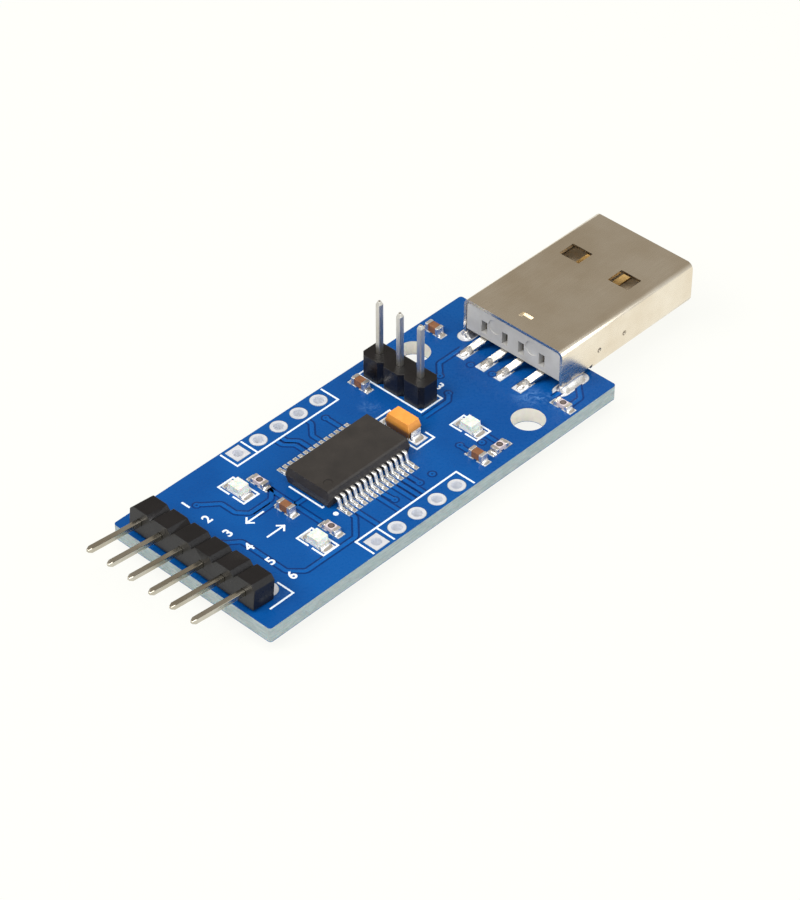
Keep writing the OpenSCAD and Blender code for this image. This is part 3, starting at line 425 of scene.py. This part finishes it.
def ringFaces(rings, around):
    # quads between neighbouring rings of a tube, with one face on each end
    i, j = np.meshgrid(np.arange(rings - 1), np.arange(around), indexing="ij")
    nextJ = (j + 1) % around
    quads = np.stack([i * around + j, i * around + nextJ, (i + 1) * around + nextJ, (i + 1) * around + j], -1)
    ends = [list(range(around))[::-1], list(range((rings - 1) * around, rings * around))]
    return quads.reshape(-1, 4).tolist() + ends


def carried(path, section, flat):
    # section (across, along flat) carried along a path that lies in the plane with normal flat;
    # across = flat x direction, lengthened at a corner by one over the cosine of half the turn
    path, section, flat = (np.asarray(a, dtype=float) for a in (path, section, flat))
    steps = np.diff(path, axis=0)
    steps /= np.linalg.norm(steps, axis=1, keepdims=True)
    before, after = np.vstack([steps[:1], steps]), np.vstack([steps, steps[-1:]])
    along = before + after
    along /= np.linalg.norm(along, axis=1, keepdims=True)
    stretch = 1.0 / np.maximum(np.sum(along * after, axis=1), 0.4)
    across = np.cross(flat, along) * stretch[:, None]
    points = path[:, None, :] + section[None, :, :1] * across[:, None, :] + section[None, :, 1:] * flat
    return points.reshape(-1, 3), ringFaces(len(path), len(section))


def turned(profile, centre, steps):
    # profile (radius, height) turned about a vertical line through centre
    profile = np.asarray(profile, dtype=float)
    angle = np.arange(steps) * 2 * math.pi / steps
    x = profile[:, :1] * np.cos(angle) + centre[0]
    y = profile[:, :1] * np.sin(angle) + centre[1]
    z = np.broadcast_to(profile[:, 1:] + centre[2], x.shape)
    return np.stack([x, y, z], -1).reshape(-1, 3), ringFaces(len(profile), steps)


def rounded(points, radius, steps=4):
    # each inner corner of a path replaced by a curve between points one radius away on its two sides:
    # (1-t)^2 first + 2t(1-t) corner + t^2 second
    points = np.asarray(points, dtype=float)
    t = np.linspace(0, 1, steps + 1)[:, None]
    out = [points[:1]]
    for a, b, c in zip(points[:-2], points[1:-1], points[2:]):
        u, v = a - b, c - b
        r = min(radius, np.linalg.norm(u) * 0.45, np.linalg.norm(v) * 0.45)
        first, second = b + u / np.linalg.norm(u) * r, b + v / np.linalg.norm(v) * r
        out.append((1 - t) ** 2 * first + 2 * t * (1 - t) * b + t ** 2 * second)
    out.append(points[-1:])
    return np.concatenate(out)


# Tracks under the blue film and the clear runs beside them, in mm of the plan
tracks = {
    "width": 0.36, "clearance": 0.17, "height": 0.014, "gapHeight": 0.007, "cornerRadius": 0.18,
    "shoulder": 0.03, "gapShoulder": 0.02,
    "top": [
        [(6.7, 6.05), (8.22, 4.70), (8.22, 2.96), (9.05, 1.99), (11.6, 1.97), (12.48, 2.75), (12.48, 3.4)],
        [(12.48, 3.1), (12.48, -3.3)],
        [(12.48, -0.08), (14.1, -0.08)],
        [(4.7, 0.95), (5.99, -0.1), (5.99, -5.5), (7.15, -6.74), (13.15, -6.78), (14.97, -4.95), (14.97, -4.62)],
        [(9.2, 1.4), (11.2, 1.4)],
        [(18.22, 4.45), (18.22, 5.6), (17.45, 6.45), (17.45, 7.1)],
        [(18.87, 4.45), (18.87, 5.75), (18.1, 6.6), (18.1, 7.1)],
        [(20.17, 4.45), (20.17, 5.4), (21.35, 6.65), (21.35, 7.1)],
        [(22.77, 4.45), (22.77, 6.2)],
        [(15.62, -4.6), (15.62, -7.1)], [(18.22, -4.6), (18.22, -7.1)], [(18.87, -4.6), (18.97, -5.85)],
        [(20.17, -4.6), (20.17, -7.1)], [(20.82, -4.6), (20.82, -7.1)], [(21.47, -4.6), (21.47, -7.1)],
        [(22.12, -4.6), (22.12, -5.9)],
        [(28.9, -0.08), (32.1, -0.08), (32.85, 0.6)],
        [(34.3, 3.0), (35.5, 4.2), (38.6, 4.2)],
        [(28.2, -5.2), (28.2, -6.2)],
        [(30.9, -5.6), (30.9, -7.4)],
        [(39.0, -6.6), (41.6, -6.6), (42.0, -7.0), (40.6, -8.5), (39.2, -8.5)],
    ],
    "under": [
        [(3.3, 6.75), (6.2, 6.75), (9.0, 3.9), (27.0, 3.9), (30.6, 7.04)],
        [(3.3, 4.21), (5.6, 4.21), (8.2, 1.6), (30.0, 1.6), (30.6, 1.96)],
        [(3.3, 1.67), (5.1, 1.67), (8.8, -2.0), (21.0, -2.0), (22.1, -3.1), (22.1, -5.9)],
        [(3.3, -0.87), (5.2, -0.87), (8.9, -4.6), (16.2, -4.6), (19.0, -5.85)],
        [(37.7, -0.4), (36.1, -2.0), (33.2, -2.0), (30.15, -5.05), (28.25, -5.05)],
        [(37.3, 1.95), (36.35, 1.0), (34.0, 1.0), (30.0, -3.0), (25.2, -3.0), (23.72, -4.5), (23.72, -5.9)],
    ],
}


def stripSection(width, height, shoulder):
    # low flat-topped strip with sloped shoulders, across and up
    half = width / 2
    return [(-half - shoulder, 0.0), (half + shoulder, 0.0), (half, height), (-half, height)]


def layTracks(paths, level, up):
    cover, gap = [], []
    wide = tracks["width"] + 2 * tracks["clearance"]
    for path in paths:
        route = rounded(np.column_stack([np.array(path), np.full(len(path), level)]), tracks["cornerRadius"])
        strip = stripSection(tracks["width"], tracks["height"], tracks["shoulder"])
        groove = stripSection(wide, tracks["gapHeight"], tracks["gapShoulder"])
        cover.append(carried(route, [(a, up * b) for a, b in strip], (0, 0, 1)))
        gap.append(carried(route, [(a, up * b) for a, b in groove], (0, 0, 1)))
    return cover, gap


for side, level, up in (("top", 0.0, 1), ("under", -board["thick"], -1)):
    cover, gap = layTracks(tracks[side], level, up)
    putPiece(f"tracks_{side}", cover, "maskTrack")
    putPiece(f"track_gaps_{side}", gap, "maskGap")

# Filled vias: a low ring with a dimple, turned about its own middle; profiles are radius and height
vias = {
    "ring": [(0.001, 0.002), (0.07, 0.002), (0.14, 0.016), (0.2, 0.02), (0.28, 0.02), (0.33, 0.0),
             (0.33, -0.01), (0.001, -0.01)],
    "gap": [(0.001, 0.009), (0.45, 0.009), (0.47, 0.0), (0.47, -0.01), (0.001, -0.01)],
    "steps": 20,
    "places": [(28.25, -5.05), (23.72, -5.92), (22.1, -5.93), (18.97, -5.88), (6.6, 6.1), (4.75, 0.9),
               (22.77, 6.25), (32.9, 0.65), (34.2, 2.9), (29.9, -6.2), (37.3, 1.95), (37.7, -0.4)],
}


def bothSides(profile):
    below = [(r, -h) for r, h in profile]
    return ([turned(profile, (*p, 0.0), vias["steps"]) for p in vias["places"]]
            + [turned(below, (*p, -board["thick"]), vias["steps"]) for p in vias["places"]])


putPiece("tented_vias", bothSides(vias["ring"]), "maskTrack")
putPiece("via_gaps", bothSides(vias["gap"]), "maskGap")
print("tracks laid")

# Plain numbers beside the pins: word, x, y, turn in degrees
numbers = {
    "height": 1.0, "sizePerHeight": 1.38, "level": 0.011, "halfThick": 0.009, "boldness": 0.03,
    "places": [("1", 5.95, 6.75, 0), ("2", 5.95, 4.1, 0), ("3", 5.95, 1.5, 0), ("4", 5.95, -1.1, 0),
               ("5", 5.95, -3.7, 0), ("6", 5.95, -6.3, 0),
               ("1", 33.0, 7.0, -90), ("2", 33.0, 4.5, -90), ("3", 33.0, 1.9, -90)],
}


def putNumbers():
    labels = []
    for word, x, y, turn in numbers["places"]:
        curve = bpy.data.curves.new("number", "FONT")
        curve.body = word
        curve.size = numbers["height"] * numbers["sizePerHeight"] * 0.001
        curve.align_x = curve.align_y = "CENTER"
        curve.extrude = numbers["halfThick"] * 0.001
        curve.offset = numbers["boldness"] * 0.001
        label = bpy.data.objects.new("number", curve)
        bpy.context.collection.objects.link(label)
        place = Matrix.Translation(Vector(toPart((x, y, numbers["level"]))))
        label.matrix_world = place @ Matrix.Rotation(math.radians(turn), 4, "Z")
        labels.append(label)
    bpy.context.view_layer.update()
    shape = bmesh.new()
    for label in labels:
        part = bpy.data.meshes.new_from_object(label)
        part.transform(label.matrix_world)
        shape.from_mesh(part)
        bpy.data.objects.remove(label)
    mesh = bpy.data.meshes.new("pin_numbers")
    bmesh.ops.remove_doubles(shape, verts=shape.verts, dist=1e-7)
    shape.to_mesh(mesh)
    shape.free()
    mesh.materials.append(finishes["ink"])
    piece = bpy.data.objects.new("pin_numbers", mesh)
    bpy.context.collection.objects.link(piece)
    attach(piece, "root")


putNumbers()
print("numbers printed")

# Chip leads: a strip with cut corners carried along a smooth gull wing
leads = {
    "count": 14, "pitch": 0.65, "middleX": 19.15, "middleY": -0.05, "bodyEdge": 2.6, "knee": 2.9,
    "heel": 3.28, "tip": 3.95, "shoulderZ": 0.975, "thick": 0.17, "width": 0.36, "lift": 0.005,
    "cut": 0.035, "footBend": 0.2, "tipEdge": 0.04,
}


def leadPath():
    # out along the shoulder, down by the smooth step z = shoulder + (foot - shoulder)(3u^2 - 2u^3),
    # out along the foot
    foot = leads["thick"] / 2 + leads["lift"]
    u = np.linspace(0, 1, 9)
    y = np.concatenate([[leads["bodyEdge"]], leads["knee"] + (leads["heel"] - leads["knee"]) * u,
                        [leads["heel"] + leads["footBend"], leads["tip"] - leads["tipEdge"], leads["tip"]]])
    drop = foot - leads["shoulderZ"]
    slope = leads["shoulderZ"] + drop * u * u * (3 - 2 * u)
    z = np.concatenate([[leads["shoulderZ"]], slope, [foot, foot, foot]])
    return y, z


def leadX(number):
    return leads["middleX"] + (number - (leads["count"] - 1) / 2) * leads["pitch"]


def leadSection():
    # half thickness a and half width b, with the corners cut off
    a, b, cut = leads["thick"] / 2, leads["width"] / 2, leads["cut"]
    return [(-a + cut, -b), (a - cut, -b), (a, -b + cut), (a, b - cut), (a - cut, b), (-a + cut, b),
            (-a, b - cut), (-a, -b + cut)]


def putLeads():
    y, z = leadPath()
    parts = {-1: [], 1: []}
    for side in (-1, 1):
        for number in range(leads["count"]):
            path = np.stack([np.full(len(y), leadX(number)), leads["middleY"] + side * y, z], -1)
            parts[side].append(carried(path, leadSection(), (1, 0, 0)))
    putPiece("chip_leads_near", parts[-1], "tin", 50, ["chip_leads_front"])
    putPiece("chip_leads_far", parts[1], "tin", 50, ["chip_leads_back"])


putLeads()
print("leads bent")


# Solder
def spun(local, turn, at):
    # points turned about the vertical and moved to their place
    c, s = math.cos(turn), math.sin(turn)
    return (local @ np.array([[c, s, 0], [-s, c, 0], [0, 0, 1]]) + np.array(at)).reshape(-1, 3)


def fillet(at, turn, width, reach, height, deep=0.12, overhang=0.04):
    # concave run from the pad up the end face: out = reach (1-u)^2, z = height u^2,
    # closed behind, scaled towards nothing at both sides by (1 - v^4)^(1/2)
    u = np.linspace(0, 1, 7)
    out = np.concatenate([reach * (1 - u) ** 2, [-deep, -deep]])
    z = np.concatenate([height * u ** 2, [height, 0.0]])
    v = np.linspace(-1, 1, 11)
    scale = np.sqrt(np.maximum(1 - v ** 4, 0.0004))
    across = v * (width / 2 + overhang)
    x = np.where(out > 0, out[None, :] * scale[:, None], out[None, :] + 0 * scale[:, None])
    local = np.stack([x, np.broadcast_to(across[:, None], x.shape), z[None, :] * scale[:, None]], -1)
    return spun(local, turn, at), ringFaces(len(v), len(u) + 2)


def mound(at, turn, length, width, height, seed=0, around=28):
    # dome over an oval: z = height (1 - r^2)^(3/4), with a slow swell round the rim
    angle = np.arange(around) * 2 * math.pi / around
    r = np.array([1.0, 0.97, 0.9, 0.78, 0.6, 0.38, 0.14])[:, None]
    rim = 1 + 0.05 * np.sin(2 * angle + seed) + 0.04 * np.sin(3 * angle + 2 * seed)
    x, y = length / 2 * r * np.cos(angle) * rim, width / 2 * r * np.sin(angle) * rim
    z = np.broadcast_to(height * (1 - r ** 2) ** 0.75, x.shape)
    local = np.stack([x, y, z], -1)
    base = np.stack([x[0], y[0], np.full(around, -0.02)], -1)[None]
    local = np.concatenate([base, local])
    return spun(local, turn, at), ringFaces(len(r) + 1, around)


# Solder at both ends of the parts: out is from the middle to the end face,
# each place is x, y and the turn in degrees of the line between the ends, and
# the rows are resistors, ceramic capacitors, lamps and the moulded capacitor
ended = [
    {"out": 0.8, "width": 0.85, "reach": 0.4, "height": 0.42,
     "places": [(12.4, 4.2, 90), (12.4, -4.6, 90), (30.4, -7.85, 0), (38.65, -8.1, 90)]},
    {"out": 0.8, "width": 0.85, "reach": 0.4, "height": 0.62,
     "places": [(11.5, 0.0, 90), (28.2, 7.15, 90), (28.1, -7.35, 90), (38.65, 7.75, 90)]},
    {"out": 1.0, "width": 1.2, "reach": 0.42, "height": 0.3,
     "places": [(10.45, 4.85, 90), (10.45, -4.85, 90), (30.65, -4.1, 90)]},
    {"out": 1.6, "width": 1.25, "reach": 0.6, "height": 0.6, "places": [(26.35, 0.1, 90)]},
]
ends = []
for part in ended:
    for x, y, turn in part["places"]:
        for half in (0, 180):
            a = math.radians(turn + half)
            at = (x + part["out"] * math.cos(a), y + part["out"] * math.sin(a), 0.0)
            ends.append(fillet(at, a, part["width"], part["reach"], part["height"]))
putPiece("end_solder", ends, "solder", 60)

toe = {"width": 0.34, "reach": 0.46, "height": 0.17, "deep": 0.3}
toes = []
for side in (-1, 1):
    for number in range(leads["count"]):
        at = (leadX(number), leads["middleY"] + side * leads["tip"], 0.0)
        toes.append(fillet(at, math.radians(90 * side), toe["width"], toe["reach"], toe["height"], toe["deep"]))
putPiece("lead_solder", toes, "solder", 60)

contactFoot = {
    "x": 38.55, "middleY": -0.05, "offsets": (3.5, 1.0, -1.0, -3.5), "turnStep": 0.06,
    "length": 1.9, "width": 1.05, "height": 0.4,
}
feet = []
for k, y in enumerate(contactFoot["offsets"]):
    feet.append(mound((contactFoot["x"], contactFoot["middleY"] + y, 0.0), contactFoot["turnStep"] * (k - 1),
                      contactFoot["length"], contactFoot["width"], contactFoot["height"], k))
putPiece("contact_solder", feet, "solder", 60)

legJoint = {
    "x": 41.5, "halfLength": 1.62, "faceHalf": 0.19, "flare": 0.52, "height": 0.62, "places": (-6.55, 5.15),
}


def legRidge(level, up, y, seed):
    # ridge along a leg: half width falls with height as (1 - u)^2 from the pad's edge to the leg's face,
    # and the ends close in a half round
    s = np.linspace(-1, 1, 25)
    u = np.linspace(0, 1, 7)
    swell = 1 + 0.08 * np.sin(5 * s + seed)
    close = np.sqrt(np.maximum(1 - s ** 8, 0.0004))
    half = (legJoint["faceHalf"] + legJoint["flare"] * (1 - u) ** 2)[None, :] * close[:, None]
    z = (legJoint["height"] * u)[None, :] * (close * swell)[:, None]
    x = legJoint["x"] + legJoint["halfLength"] * s
    right = np.stack([np.broadcast_to(x[:, None], half.shape), y + half, level + up * z], -1)
    left = np.stack([np.broadcast_to(x[:, None], half.shape), y - half, level + up * z], -1)[:, ::-1]
    return np.concatenate([right, left], 1).reshape(-1, 3), ringFaces(len(s), 2 * len(u))


boardSides = ((0.0, 1), (-board["thick"], -1))
ridges = [legRidge(level, up, y, y + up) for level, up in boardSides for y in legJoint["places"]]
putPiece("leg_joint_solder", ridges, "solder", 60, ["leg_solder"])

# Cones of solder round the tails below: radius = neck + (pad - neck)(1 - u)^2, depth = height u
tails = {
    "height": 0.85, "neck": 0.44, "steps": 24,
    "places": [(3.3, 6.75, 0.88), (3.3, 4.21, 0.88), (3.3, 1.67, 0.88), (3.3, -0.87, 0.88), (3.3, -3.41, 0.88),
               (3.3, -5.95, 0.88), (30.6, 7.04, 0.78), (30.6, 4.5, 0.78), (30.6, 1.96, 0.78)],
}
cones = []
for x, y, pad in tails["places"]:
    u = np.linspace(0, 1, 9)
    radius = tails["neck"] + (pad - tails["neck"]) * (1 - u) ** 2
    profile = np.column_stack([radius, -tails["height"] * u])
    profile = np.vstack([[(0.001, 0.0)], profile, [(0.001, -tails["height"])]])
    cones.append(turned(profile, (x, y, -board["thick"]), tails["steps"]))
putPiece("tail_solder", cones, "solder", 60, ["pin_solder"])
print("solder run")

# Stage: floor, room and lamps
stage = {
    "floor": shade(254, 254, 249), "paper": shade(238, 238, 234), "paperRoughness": 0.9,
    "whiteShare": 0.9, "size": 1.2,
}


def putFloor():
    mesh = bpy.data.meshes.new("floor")
    h = stage["size"] / 2
    mesh.from_pydata([(-h, -h, 0), (h, -h, 0), (h, h, 0), (-h, h, 0)], [], [(0, 1, 2, 3)])
    floor = bpy.data.objects.new("floor", mesh)
    bpy.context.collection.objects.link(floor)
    paper = bpy.data.materials.new("paper")
    paper.use_nodes = True
    nodes, links = paper.node_tree.nodes, paper.node_tree.links
    shader, out = nodes["Principled BSDF"], nodes["Material Output"]
    shader.inputs["Base Color"].default_value = stage["paper"]
    shader.inputs["Roughness"].default_value = stage["paperRoughness"]
    shader.inputs["Specular IOR Level"].default_value = 0.0
    glow = nodes.new("ShaderNodeEmission")
    glow.inputs["Color"].default_value = stage["floor"]
    rays = nodes.new("ShaderNodeLightPath")
    seen = mathOf(nodes, links, "MAXIMUM", rays.outputs["Is Camera Ray"], rays.outputs["Is Glossy Ray"])
    clear = mathOf(nodes, links, "MAXIMUM", seen, rays.outputs["Is Transmission Ray"])
    share = mathOf(nodes, links, "MULTIPLY", clear, stage["whiteShare"])
    mix = nodes.new("ShaderNodeMixShader")
    links.new(share, mix.inputs["Fac"])
    links.new(shader.outputs["BSDF"], mix.inputs[1])
    links.new(glow.outputs["Emission"], mix.inputs[2])
    links.new(mix.outputs["Shader"], out.inputs["Surface"])
    mesh.materials.append(paper)


putFloor()

room = {
    "dimTowards": (0.5546, 0.5217, 0.6484), "dimFrom": 0.15, "dimTo": 0.8,
    "bright": (0.73, 0.745, 0.76, 1.0), "dim": (0.355, 0.322, 0.278, 1.0),
}


def putWorld():
    # soft room light that is dimmer and warmer in one quarter, so that level metal shows a ceiling
    world = bpy.data.worlds.new("room")
    bpy.context.scene.world = world
    world.use_nodes = True
    nodes, links = world.node_tree.nodes, world.node_tree.links
    coords = nodes.new("ShaderNodeTexCoord")
    dot = nodes.new("ShaderNodeVectorMath")
    dot.operation = "DOT_PRODUCT"
    dot.inputs[1].default_value = room["dimTowards"]
    links.new(coords.outputs["Generated"], dot.inputs[0])
    share = rangeOf(nodes, links, dot.outputs["Value"], room["dimFrom"], room["dimTo"], 0.0, 1.0)
    links.new(mixOf(nodes, links, share, room["bright"], room["dim"]), nodes["Background"].inputs["Color"])


putWorld()

# Lamps: places and sizes in metres, all turned to the middle of the object
aim = Vector((0, 0, 0.003))
lamps = {
    "key": {"at": (-0.32, 0.12, 0.42), "size": 0.3, "watts": 1.7, "colour": (1.0, 0.98, 0.95)},
    "fill": {"at": (0.12, -0.5, 0.26), "size": 0.4, "watts": 1.1, "colour": (0.97, 0.99, 1.0)},
    "top": {"at": (-0.12, -0.12, 0.55), "size": 0.3, "watts": 1.2, "colour": (1.0, 1.0, 1.0)},
}
for name, lamp in lamps.items():
    light = bpy.data.lights.new(name, "AREA")
    light.shape = "DISK"
    light.size = lamp["size"]
    light.energy = lamp["watts"]
    light.color = lamp["colour"]
    holder = bpy.data.objects.new(name, light)
    bpy.context.collection.objects.link(holder)
    holder.location = lamp["at"]
    holder.rotation_euler = (aim - Vector(lamp["at"])).to_track_quat("-Z", "Y").to_euler()

# Camera: angles in degrees, distance and target in mm of the plan, the rest in pixels of the picture
cameraFit = {
    "azimuth": -46.75, "elevation": 40.424, "roll": 0.1406, "distance": 281.716,
    "target": (24.604, -2.159, 0.0), "focalPixels": 3177.3, "centre": (408.03, 450.14),
    "picture": (800, 900), "sensor": 36.0,
}


def putCamera():
    azimuth, elevation = math.radians(cameraFit["azimuth"]), math.radians(cameraFit["elevation"])
    back = np.array([math.sin(azimuth) * math.cos(elevation), -math.cos(azimuth) * math.cos(elevation),
                     math.sin(elevation)])
    right = np.array([math.cos(azimuth), math.sin(azimuth), 0.0])
    up = np.cross(back, right)
    roll = math.radians(cameraFit["roll"])
    right, up = right * math.cos(roll) + up * math.sin(roll), up * math.cos(roll) - right * math.sin(roll)
    lens = bpy.data.cameras.new("camera")
    width, height = cameraFit["picture"]
    lens.sensor_width = cameraFit["sensor"]
    lens.sensor_fit = "AUTO"
    lens.lens = cameraFit["focalPixels"] * cameraFit["sensor"] / height
    lens.shift_x = -(cameraFit["centre"][0] - width / 2) / height
    lens.shift_y = (cameraFit["centre"][1] - height / 2) / height
    lens.clip_start = 0.01
    camera = bpy.data.objects.new("camera", lens)
    bpy.context.collection.objects.link(camera)
    spot = toPart(np.array(cameraFit["target"]) + back * cameraFit["distance"])
    pose = Matrix(((right[0], up[0], back[0], spot[0]), (right[1], up[1], back[1], spot[1]),
                   (right[2], up[2], back[2], spot[2]), (0, 0, 0, 1)))
    camera.matrix_world = pose
    bpy.context.scene.camera = camera


putCamera()
bpy.context.scene.view_settings.view_transform = "Standard"
print("stage set")
